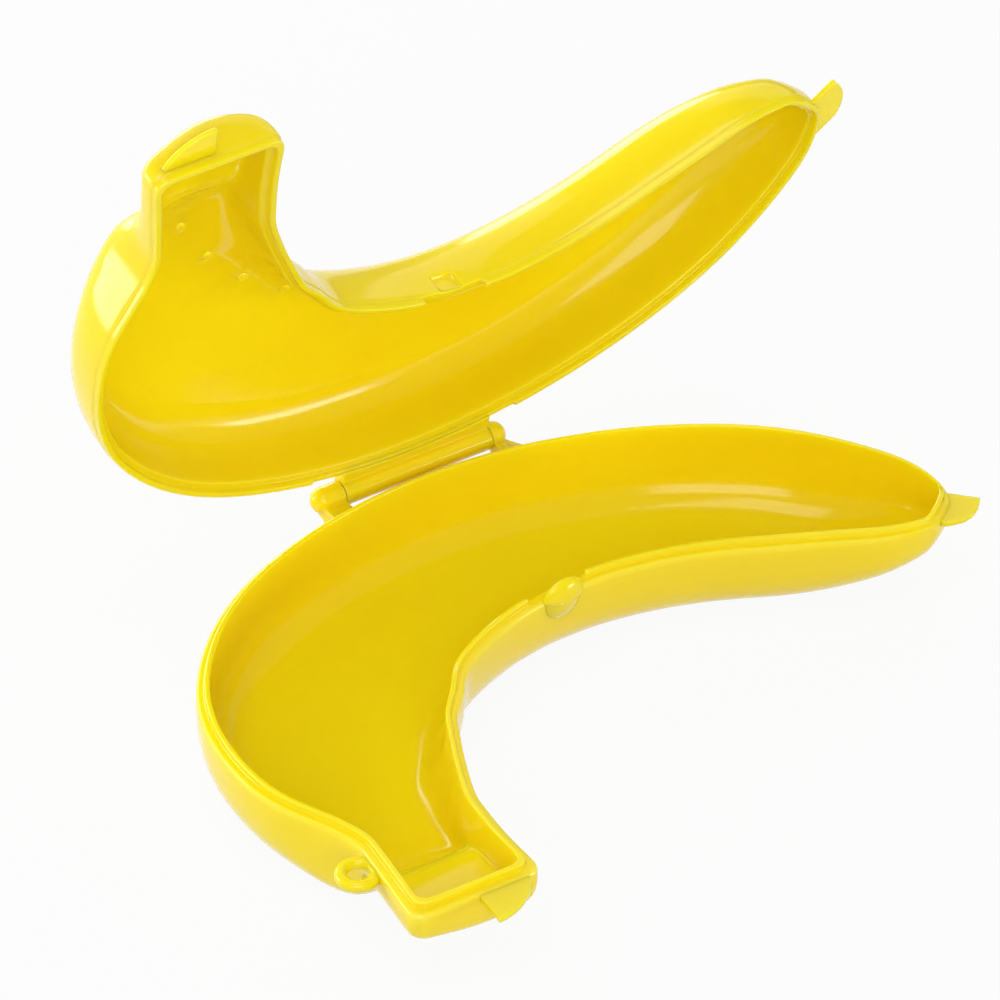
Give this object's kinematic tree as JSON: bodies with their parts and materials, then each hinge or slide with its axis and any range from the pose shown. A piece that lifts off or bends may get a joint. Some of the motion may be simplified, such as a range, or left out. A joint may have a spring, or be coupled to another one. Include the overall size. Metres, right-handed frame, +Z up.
{
  "type": "banana carrying case",
  "caption": "Hinged carrying case for a banana: two curved half shells with a lipped rim, snap hinge, thumb latch, key loop and finger tabs, shown open.",
  "frame": {"origin": "on the flat resting face of the base, under the middle of the belly's centre line", "axes": "+X along the hinge towards the tip, +Y back towards the hinge, +Z up"},
  "size_m": [0.2215, 0.1703, 0.1704],
  "materials": {
    "case": "glossy moulded polypropylene, slightly translucent"
  },
  "bodies": {
    "base": {"base_shell": "case", "left_hinge_lug": "case", "right_hinge_lug": "case", "key_loop": "case", "base_stem_tab": "case", "base_tip_tab": "case"},
    "latch": {"latch_tongue": "case"},
    "lid": {"lid_shell": "case", "hinge_barrel": "case", "lid_stem_tab": "case", "lid_tip_tab": "case"}
  },
  "joints": [
    {"name": "lid_hinge", "type": "hinge", "parent": "base", "child": "lid", "pos_m": [-0.002, 0.0344, 0.024], "axis": [-1, 0, 0], "range_deg": [-75, 105]},
    {"name": "latch_flex", "type": "hinge", "parent": "base", "child": "latch", "pos_m": [-0.002, -0.0301, 0.016], "axis": [1, 0, 0], "range_deg": [0, 6], "stiffness_Nm_per_rad": 0.5}
  ]
}
